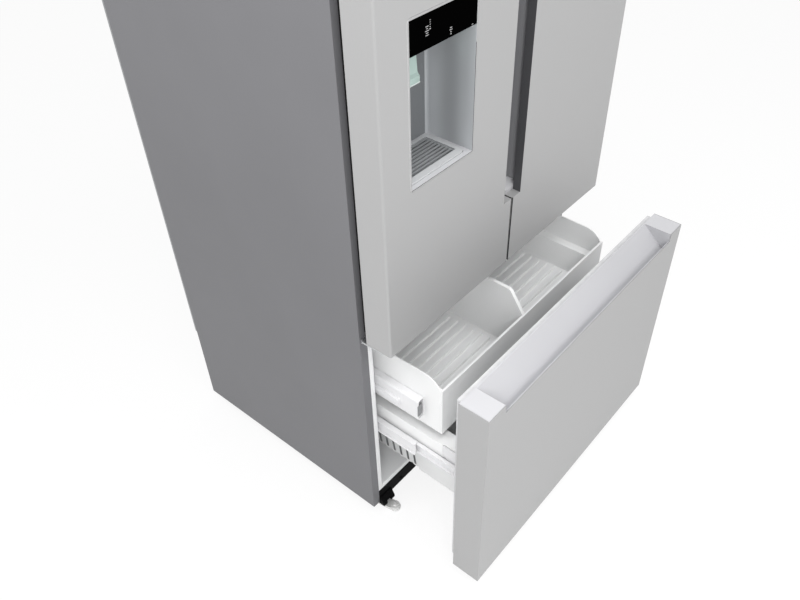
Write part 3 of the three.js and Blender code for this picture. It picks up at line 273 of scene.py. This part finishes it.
# ---------------------------------------------------------------- carried-over pieces
def dress(material, names, rounding=0.0006, whole=True):
    """Gives frame pieces their finish and rounds their edges; whole merges each flat side first."""
    for name in names.split():
        node = NODES[name]
        node.data.materials.clear()
        node.data.materials.append(material)
        for polygon in node.data.polygons:
            polygon.material_index = 0
        if rounding:
            weld = node.modifiers.new("merged_points", "WELD")
            weld.merge_threshold = 0.00001
            if whole:
                merge = node.modifiers.new("whole_faces", "DECIMATE")
                merge.decimate_type = "DISSOLVE"
                merge.angle_limit = radians(0.5)
                merge.delimit = {"MATERIAL"}
            edge = node.modifiers.new("soft_edges", "BEVEL")
            edge.width = rounding
            edge.segments = 2
            edge.limit_method = "ANGLE"
            edge.angle_limit = radians(28)
            edge.use_clamp_overlap = True
            node.modifiers.new("even_shading", "WEIGHTED_NORMAL")


def refinish(material, name, test):
    """Gives the faces of a frame piece whose middle passes the test a finish of their own."""
    node = NODES[name]
    node.data.materials.append(material)
    for polygon in node.data.polygons:
        if test(polygon.center):
            polygon.material_index = len(node.data.materials) - 1


def in_shaded_slot(place):
    """Whether a face of the lower bin lies in one of the narrow slots of its fluted sides, whose floors get
    painted shade.
    """
    across = (place.y - FLUTE_START) % FLUTE_PITCH
    wall = BIN_BOTTOM_HALF + BIN_LEAN * (place.z - BIN_BOTTOM)
    in_wall = -0.0012 < abs(place.x) - wall < 0.0045
    in_fluted_part = place.y > FLUTE_START - 0.006 and SLOT_BOTTOM < place.z < SLOT_TOP
    return in_wall and in_fluted_part and min(across, FLUTE_PITCH - across) < SLOT_HALF


dress(CABINET_PAINT, "cabinet_shell", 0.0012)
dress(REAR_SHEET, "back_panel compressor_cover")
dress(LINER_PLASTIC, "fridge_liner freezer_liner", 0.0015)
dress(LINER_PLASTIC, "drawer_panel air_duct")
dress(LINER_PLASTIC, "left_door_liner right_door_liner evaporator_cover", whole=False)
dress(BASKET_PLASTIC, "upper_basket lower_bin", 0.0008)
dress(SLIDE_PLASTIC, "basket_rail_left basket_rail_right", 0.0005)
dress(SLIDE_PLASTIC, "basket_rail_fixed_left basket_rail_fixed_right", 0.0005)
dress(BLACK_PAINT, "kick_strip compressor")
dress(NICKEL, "front_foot_left front_foot_right", 0.0005)
dress(ZINC, "top_hinge_left top_hinge_right mid_hinge_left mid_hinge_right", 0.0004)
dress(SLIDE_PAINT, "drawer_rail_left drawer_rail_right rail_middle_left rail_middle_right", 0.0003)
dress(ZINC, "rail_fixed_left rail_fixed_right", 0.0003)
dress(ROLLER_RUBBER, "rear_roller_left rear_roller_right")
dress(SHELF_GLASS, SHELVES, 0.0004, whole=False)
dress(CLEAR_PLASTIC, "crisper " + DOOR_BINS, 0.0005, whole=False)
dress(COPPER, "condenser", 0)
dress(BLACK_PLASTIC, "condenser_fan", 0.0004)
dress(ALUMINIUM, "evaporator", 0)
dress(HINGE_GREY, "hinge_cover_left hinge_cover_right", 0.001, whole=False)
dress(TRIM_SILVER, "drawer_top_trim", 0)
dress(DOOR_STEEL, "left_door_body right_door_body", 0.0012)
dress(DOOR_STEEL, "drawer_front", 0.0006)
dress(GASKET_RUBBER_AND_GAP_SHADE, "left_door_gasket right_door_gasket")
dress(GASKET_GREY, "drawer_gasket")
dress(GROOVE_LINING, "left_handle_channel right_handle_channel", 0.0005)
dress(DARK_TRIM, "mullion_flap", 0.0005)
dress(CAVITY_PLASTIC, "dispenser_housing", 0.0006)
dress(BLACK_GLASS, "dispenser_glass", 0.0004)
dress(GREEN_PLASTIC, "dispenser_paddle", 0.0004)
dress(TRAY_PLASTIC, "drip_tray", 0.0003)

for shelf in SHELVES.split():
    refinish(TRIM_SILVER, shelf, lambda place: place.y < NOSING_REAR)
for bin_name in DOOR_BINS.split():
    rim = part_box(bin_name)[1].z - BIN_RIM
    refinish(TRIM_SILVER, bin_name, lambda place: place.z > rim)
refinish(TRIM_SILVER, "crisper", lambda place: place.y < CRISPER_FRONT and place.z > CRISPER_HANDLE)

for side in SIDES:
    groove_low, groove_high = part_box(f"{side}_handle_channel")
    corner_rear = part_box(f"{side}_door_body")[0].y + 0.003
    # the doors' rounded corners at the gap are painted black as the gap's shade
    refinish(GASKET_RUBBER_AND_GAP_SHADE, f"{side}_door_body",
             lambda place: DOOR_CORNER[0] < abs(place.x) < DOOR_CORNER[1] and place.y < corner_rear)
    refinish(GROOVE_GREY, f"{side}_door_body",
             lambda place: NOTCH_WALL[0] < abs(place.x) < NOTCH_WALL[1]
             and groove_low.z < place.z < groove_high.z)
    refinish(GROOVE_END, f"{side}_handle_channel", lambda place: place.z < groove_low.z + GROOVE_BLOCK)

shell_low, shell_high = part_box("dispenser_housing")
refinish(LINER_PLASTIC, "dispenser_housing",
         lambda place: place.y > shell_high.y - 0.001 or place.z < shell_low.z + 0.001
         or not shell_low.x + HOUSING_MARGIN < place.x < shell_high.x - HOUSING_MARGIN)
refinish(DOOR_STEEL, "dispenser_housing", lambda place: place.y < shell_low.y + 0.0005)
# the cavity's back wall gets painted shade
refinish(CAVITY_PAINTED_SHADE, "dispenser_housing", lambda place: abs(place.y - CAVITY_REAR) < 0.0008)
refinish(TRIM_SILVER, "dispenser_housing", lambda place: abs(place.z - CAVITY_FLOOR) < 0.0004)
paddle_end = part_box("dispenser_paddle")[1].x - PADDLE_INSET
refinish(PADDLE_RIM, "dispenser_paddle", lambda place: abs(place.x - paddle_end) < 0.0005)
tray_low, tray_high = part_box("drip_tray")
refinish(GRILLE_PLASTIC, "drip_tray",
         lambda place: place.z < tray_high.z - 0.0005 and tray_low.x + 0.004 < place.x < tray_high.x - 0.004
         and tray_low.y + 0.004 < place.y < tray_high.y - 0.002)

# below its top, the drawer's top trim gets the darker grey of painted shade
trim_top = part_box("drawer_top_trim")[1].z - 0.0015
refinish(TRIM_SLOPE_PAINTED_SHADE, "drawer_top_trim", lambda place: place.z < trim_top)
# the floors of the bin's side slots get painted shade
refinish(RECESS_PAINTED_SHADE, "lower_bin", in_shaded_slot)


# ---------------------------------------------------------------- bench work
def start(kind, name, place, scale=(1, 1, 1), **shape):
    """Adds one primitive by itself at its size and place, and opens it for editing."""
    bpy.ops.object.select_all(action="DESELECT")
    getattr(bpy.ops.mesh, f"primitive_{kind}_add")(location=place, **shape)
    piece = bpy.context.object
    piece.name = name
    piece.scale = scale
    bpy.ops.object.transform_apply(location=True, rotation=True, scale=True)
    bpy.ops.object.mode_set(mode="EDIT")
    return piece


def pick(kind, test):
    """Selects the faces, or the edges or points, whose middle and direction pass the test."""
    bpy.ops.mesh.select_mode(type=kind)
    bpy.ops.mesh.select_all(action="DESELECT")
    mesh = bmesh.from_edit_mesh(bpy.context.object.data)
    if kind == "FACE":
        for face in mesh.faces:
            face.select_set(test(face.calc_center_median(), face.normal))
    elif kind == "EDGE":
        for edge in mesh.edges:
            first, second = (point.co for point in edge.verts)
            edge.select_set(test((first + second) / 2, (second - first).normalized()))
    else:
        for point in mesh.verts:
            point.select_set(test(point.co, point.normal))
    mesh.select_flush_mode()
    bmesh.update_edit_mesh(bpy.context.object.data)


def close(piece, material, body, angle=35):
    """Ends the editing: outward faces, soft shading, the finish, and the body that carries the piece."""
    bpy.ops.mesh.select_all(action="SELECT")
    bpy.ops.mesh.normals_make_consistent(inside=False)
    bpy.ops.object.mode_set(mode="OBJECT")
    bpy.ops.object.shade_smooth_by_angle(angle=radians(angle))
    piece.data.materials.append(material)
    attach(piece, body)


def copy_to(piece, name, move, body):
    """A copy with its own mesh, moved and riding on its own body."""
    twin = piece.copy()
    twin.data = piece.data.copy()
    twin.name = name
    twin.parent = None
    twin.data.transform(move)
    bpy.context.scene.collection.objects.link(twin)
    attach(twin, body)


def on_corner(middle, low, high):
    """Whether an edge's middle lies on two outer sides of the block between low and high."""
    return sum(min(abs(middle[i] - low[i]), abs(middle[i] - high[i])) < 1e-6 for i in range(3)) >= 2


def slab(name, low, high, material, body, rounding=0.0008, panel=None, sunk=0.0004):
    """Flat moulding between two corners, with round edges; panel points to a side with a sunk field."""
    low, high = Vector(low), Vector(high)
    piece = start("cube", name, (low + high) / 2, high - low, size=1)
    if panel:
        pick("FACE", lambda middle, normal: normal.dot(panel) > 0.9)
        bpy.ops.mesh.inset(thickness=rounding * 2.2)
        bpy.ops.transform.translate(value=Vector(panel) * -sunk)
    pick("EDGE", lambda middle, direction: on_corner(middle, low, high))
    bpy.ops.mesh.bevel(offset=rounding, segments=2, affect="EDGES")
    close(piece, material, body)


def tube(name, route, radius, material, body):
    """Round tube along a smooth line through given points."""
    bpy.ops.object.select_all(action="DESELECT")
    bpy.ops.curve.primitive_bezier_curve_add(location=(0, 0, 0))
    line = bpy.context.object
    line.name = name
    spline = line.data.splines[0]
    spline.bezier_points.add(len(route) - 2)
    for point, place in zip(spline.bezier_points, route):
        point.co = place
        point.handle_left_type = point.handle_right_type = "AUTO"
    line.data.dimensions = "3D"
    line.data.bevel_depth = radius
    line.data.bevel_resolution = 3
    line.data.use_fill_caps = True
    line.data.resolution_u = 8
    bpy.ops.object.convert(target="MESH")
    bpy.ops.object.mode_set(mode="EDIT")
    close(bpy.context.object, material, body, 40)


def screws(name, spots, radius, material, body, facing=(0, 0, 1)):
    """Pan-head screws with a round socket, modelled once and copied to every spot."""
    first = start("cylinder", name, (0, 0, radius * 0.3), vertices=20, radius=radius, depth=radius * 0.6)
    pick("FACE", lambda middle, normal: normal.z > 0.9)
    bpy.ops.mesh.bevel(offset=radius * 0.25, segments=3, affect="EDGES")
    pick("FACE", lambda middle, normal: normal.z > 0.999 and middle.length > radius * 0.3)
    bpy.ops.mesh.inset(thickness=radius * 0.35)
    bpy.ops.mesh.inset(thickness=radius * 0.04)
    bpy.ops.transform.translate(value=(0, 0, -radius * 0.3))
    turned = Vector((0, 0, 1)).rotation_difference(Vector(facing)).to_matrix().to_4x4()
    close(first, material, body)
    for index, spot in enumerate(spots[1:], 2):
        copy_to(first, f"{name}_{index}", Matrix.Translation(spot) @ turned, body)
    first.data.transform(Matrix.Translation(spots[0]) @ turned)


# ---------------------------------------------------------------- dispenser
def dispenser_marks():
    """Plain dots and bars printed on the black glass, in place of words and pictures."""
    low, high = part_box("dispenser_glass")
    face = low.y - 0.0002
    row_pitch, dot_half, bar_half_height = 0.0034, 0.0009, 0.0005
    columns = ((0.0415, -0.0165, (4, 2, 5, 3, 4)), (0.0487, -0.0085, (1, 1, 1, 1, 2)),
               (0.1004, -0.0365, (3, 4, 2, 2)), (0.157, -0.049, (2, 2)))
    for column, (right, down, lengths) in enumerate(columns, 1):
        for row, length in enumerate(lengths, 1):
            x = low.x + right
            z = high.z + down - row * row_pitch
            half = length * dot_half
            slab(f"glass_mark_{column}_{row}", (x - half, face, z - bar_half_height),
                 (x + half, face + 0.0004, z + bar_half_height), WHITE_PRINT, "left_door", 0.0001)


def dispenser_edges():
    """Dark joint lines under and beside the cavity's mouth."""
    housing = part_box("dispenser_housing")[0]
    face = housing.y - 0.0002
    back = face + 0.0008
    slab("cavity_line_below", (housing.x + 0.0078, face, CAVITY_FLOOR - 0.0012),
         (CAVITY_RIGHT + 0.0008, back, CAVITY_FLOOR - 0.0002), DARK_TRIM, "left_door", 0.0002)
    slab("cavity_line_right", (CAVITY_RIGHT + 0.0001, face, CAVITY_FLOOR),
         (CAVITY_RIGHT + 0.0009, back, CAVITY_LINE_TOP), DARK_TRIM, "left_door", 0.0002)


def paddle_foot():
    """Lower apron of the paddle and its pale rim."""
    low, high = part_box("dispenser_paddle")
    left, right = low.x + 0.0032, high.x - 0.0032
    back = low.y + 0.0016
    slab("paddle_apron", (left, low.y - 0.0004, low.z - 0.0092), (right, back, low.z + 0.0025),
         GREEN_PLASTIC, "paddle", 0.0006)
    slab("paddle_lip", (left, low.y - 0.001, low.z - 0.0116), (right, back, low.z - 0.0091),
         PADDLE_RIM, "paddle", 0.0006)


def groove_linings():
    """Curved dark walls of the handle grooves, from behind the front skin round to the back plate."""
    skin_half = 0.0004
    end_block = 0.012
    for side, sign in SIDES.items():
        low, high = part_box(f"{side}_handle_channel")
        outer, inner = (low.x, high.x) if sign < 0 else (high.x, low.x)
        plate = high.y - 0.0042
        radius = plate - low.y - skin_half
        centre = (outer - sign * (radius + skin_half), plate - radius, low.z + end_block)
        across = inner - centre[0] - sign * skin_half
        height = high.z - low.z - 2 * end_block
        wall = start("circle", f"{side}_groove_wall", centre, vertices=48, radius=radius)
        pick("VERT", lambda place, normal: (place.x - centre[0]) * sign < -1e-5 or place.y < centre[1] - 1e-5)
        bpy.ops.mesh.delete(type="VERT")
        pick("VERT", lambda place, normal: abs(place.x - centre[0]) < 1e-5)
        bpy.ops.mesh.extrude_region_move(TRANSFORM_OT_translate={"value": (across, 0, 0)})
        bpy.ops.mesh.select_all(action="SELECT")
        bpy.ops.mesh.extrude_region_move(TRANSFORM_OT_translate={"value": (0, 0, height)})
        bpy.ops.object.mode_set(mode="OBJECT")
        skin = wall.modifiers.new("skin", "SOLIDIFY")
        skin.thickness = 2 * skin_half
        skin.offset = 0
        bpy.ops.object.modifier_apply(modifier=skin.name)
        bpy.ops.object.mode_set(mode="EDIT")
        close(wall, GROOVE_LINING, f"{side}_door", 25)


def door_gap_shade_strips():
    """Slim black strips that face each other just inside the gap between the doors, as painted shade of the
    deep gap.
    """
    for side, sign in SIDES.items():
        low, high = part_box(f"{side}_door_body")
        groove_low, groove_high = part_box(f"{side}_handle_channel")
        near = high.x if sign < 0 else low.x
        ends = sorted((near, near - sign * 0.0011))
        for part, bottom, top in (("lower", low.z + 0.002, groove_low.z - 0.001),
                                  ("upper", groove_high.z + 0.001, high.z - 0.002)):
            slab(f"{side}_gap_shade_strip_{part}", (ends[0], low.y + 0.0022, bottom), (ends[1], low.y + 0.02, top),
                 GASKET_RUBBER_AND_GAP_SHADE, f"{side}_door", 0.0003)


# ---------------------------------------------------------------- freezer drawer
def slide_ends():
    """Grey latch in the front end of each basket slide; its grey is painted shade for the dark of the slide's
    open end.
    """
    for side in SIDES:
        low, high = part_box(f"basket_rail_{side}")
        middle = (low.x + high.x) / 2
        slab(f"slide_latch_{side}", (middle - 0.007, low.y - 0.0012, low.z + 0.012),
             (middle + 0.007, low.y + 0.001, low.z + 0.044), RECESS_PAINTED_SHADE, "basket", 0.0008, FRONT, 0.0006)


# ---------------------------------------------------------------- compartments
def ceiling_lamps():
    """Flat lamp covers under the refrigerator's ceiling."""
    for index, x in enumerate((-0.13, 0.13), 1):
        slab(f"ceiling_lamp_{index}", (x - 0.075, 0.02, FRIDGE_CEILING - 0.006),
             (x + 0.075, 0.07, FRIDGE_CEILING - 0.0001), LAMP_LENS, "cabinet", 0.0015, DOWN, 0.0008)


def control_strip():
    """Narrow control moulding across the refrigerator's ceiling."""
    slab("control_strip", (-0.22, -0.035, FRIDGE_CEILING - 0.012), (0.22, 0.005, FRIDGE_CEILING - 0.0001),
         TRIM_SILVER, "cabinet", 0.003, DOWN, 0.0008)


# ---------------------------------------------------------------- machine compartment
def machine_parts():
    """Copper tubes between compressor and condenser, and the relay box."""
    low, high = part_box("compressor")
    top = high.z - 0.02
    side = high.x + 0.002
    middle = (low.y + high.y) / 2
    route = [(side - 0.02, middle - 0.03, top - 0.03), (side + 0.03, middle - 0.04, top - 0.02),
             (side + 0.09, middle - 0.05, top - 0.04), (side + 0.175, middle - 0.03, top - 0.05)]
    tube("discharge_tube", route, 0.003, COPPER, "cabinet")
    route = [(side - 0.02, middle + 0.03, top - 0.04), (side + 0.04, middle + 0.04, top - 0.03),
             (side + 0.06, middle + 0.045, top + 0.03), (side + 0.06, middle + 0.045, top + 0.052)]
    tube("suction_tube", route, 0.004, COPPER, "cabinet")
    slab("relay_box", (low.x - 0.026, middle - 0.03, low.z + 0.06),
         (low.x + 0.004, middle + 0.03, low.z + 0.115), BLACK_PLASTIC, "cabinet", 0.003, (-1, 0, 0), 0.001)


# ---------------------------------------------------------------- small fasteners
def fasteners():
    """Screws of the machine cover, kick strip and hinge covers, and rivets of the drawer's brackets."""
    low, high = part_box("compressor_cover")
    face = high.y - COVER_BOSS
    spots = [(x, face, z) for z in (low.z + 0.01, high.z - 0.01) for x in (-0.355, 0, 0.355)]
    screws("cover_screw", spots, 0.0042, ZINC, "cabinet", REAR)
    low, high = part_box("kick_strip")
    screws("kick_screw", [(x, FLANGE_FRONT, low.z + 0.024) for x in (-0.29, 0.29)], 0.0034, BLACK_PAINT,
           "cabinet", FRONT)
    for side, sign in SIDES.items():
        low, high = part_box(f"hinge_cover_{side}")
        inner = high.x if sign < 0 else low.x
        screws(f"hinge_cover_screw_{side}", [(inner, y, high.z - 0.011) for y in (-0.17, -0.09)],
               0.0035, HINGE_GREY, "cabinet", (-sign, 0, 0))
        screws(f"bracket_rivet_{side}", [(sign * 0.338, -0.374, z) for z in (0.288, 0.337)],
               0.0028, SLIDE_PAINT, "drawer", (sign, 0, 0))


dispenser_marks()
dispenser_edges()
paddle_foot()
groove_linings()
door_gap_shade_strips()
slide_ends()
ceiling_lamps()
control_strip()
machine_parts()
fasteners()


# ---------------------------------------------------------------- studio
def paper_floor():
    """White floor that the camera, reflections and glass see as bright, and that otherwise lights softly."""
    bpy.ops.object.select_all(action="DESELECT")
    bpy.ops.mesh.primitive_plane_add(size=60, location=(0, 0, -0.0005))
    floor = bpy.context.object
    floor.name = "studio_floor"
    material = bpy.data.materials.new("studio_floor")
    material.use_nodes = True
    tree = material.node_tree
    tree.nodes.clear()
    path = tree.nodes.new("ShaderNodeLightPath")
    seen = tree.nodes.new("ShaderNodeMath")
    seen.operation = "MAXIMUM"
    tree.links.new(path.outputs["Is Camera Ray"], seen.inputs[0])
    glossy = tree.nodes.new("ShaderNodeMath")
    glossy.operation = "MAXIMUM"
    tree.links.new(path.outputs["Is Glossy Ray"], glossy.inputs[0])
    tree.links.new(path.outputs["Is Transmission Ray"], glossy.inputs[1])
    tree.links.new(glossy.outputs[0], seen.inputs[1])
    share = tree.nodes.new("ShaderNodeMath")
    share.operation = "MULTIPLY"
    share.inputs[1].default_value = 0.8
    tree.links.new(seen.outputs[0], share.inputs[0])
    paper = tree.nodes.new("ShaderNodeBsdfDiffuse")
    paper.inputs["Color"].default_value = (0.9, 0.9, 0.9, 1)
    glow = tree.nodes.new("ShaderNodeEmission")
    glow.inputs["Strength"].default_value = 1.05
    both = tree.nodes.new("ShaderNodeMixShader")
    tree.links.new(share.outputs[0], both.inputs["Fac"])
    tree.links.new(paper.outputs[0], both.inputs[1])
    tree.links.new(glow.outputs[0], both.inputs[2])
    out = tree.nodes.new("ShaderNodeOutputMaterial")
    tree.links.new(both.outputs[0], out.inputs["Surface"])
    floor.data.materials.append(material)


def even_sky():
    """White sky, at full strength where the camera sees it and softer as a light."""
    world = bpy.data.worlds.new("studio")
    bpy.context.scene.world = world
    bpy.context.scene.view_settings.view_transform = "Standard"
    world.use_nodes = True
    tree = world.node_tree
    sky = tree.nodes["Background"]
    sky.inputs["Color"].default_value = (1, 1, 1, 1)
    path = tree.nodes.new("ShaderNodeLightPath")
    level = tree.nodes.new("ShaderNodeMapRange")
    level.inputs["To Min"].default_value = 0.62
    level.inputs["To Max"].default_value = 1.0
    tree.links.new(path.outputs["Is Camera Ray"], level.inputs["Value"])
    tree.links.new(level.outputs["Result"], sky.inputs["Strength"])


def lamp(name, place, aim, size, power):
    """Rectangular soft lamp at a place, turned to what it lights."""
    data = bpy.data.lights.new(name, "AREA")
    data.shape = "RECTANGLE"
    data.size, data.size_y = size
    data.energy = power
    light = bpy.data.objects.new(name, data)
    bpy.context.scene.collection.objects.link(light)
    light.location = place
    light.rotation_euler = (Vector(aim) - Vector(place)).to_track_quat("-Z", "Y").to_euler()


photo_camera()
paper_floor()
even_sky()
lamp("overhead_softbox", (0, -1.0, 3.2), (0, -0.35, 0.4), (2.0, 1.2), 27)
lamp("left_softbox", (-1.3, 0.35, 2.1), (-0.395, 0.15, 1.3), (0.6, 0.6), 9)
lamp("front_softbox", (0.2, -2.1, 2.3), (0, -0.3, 0.5), (1.4, 1.0), 7)
lamp("main_softbox", (-1.7, -1.6, 1.8), (0, -0.3, 0.55), (1.1, 1.1), 21)
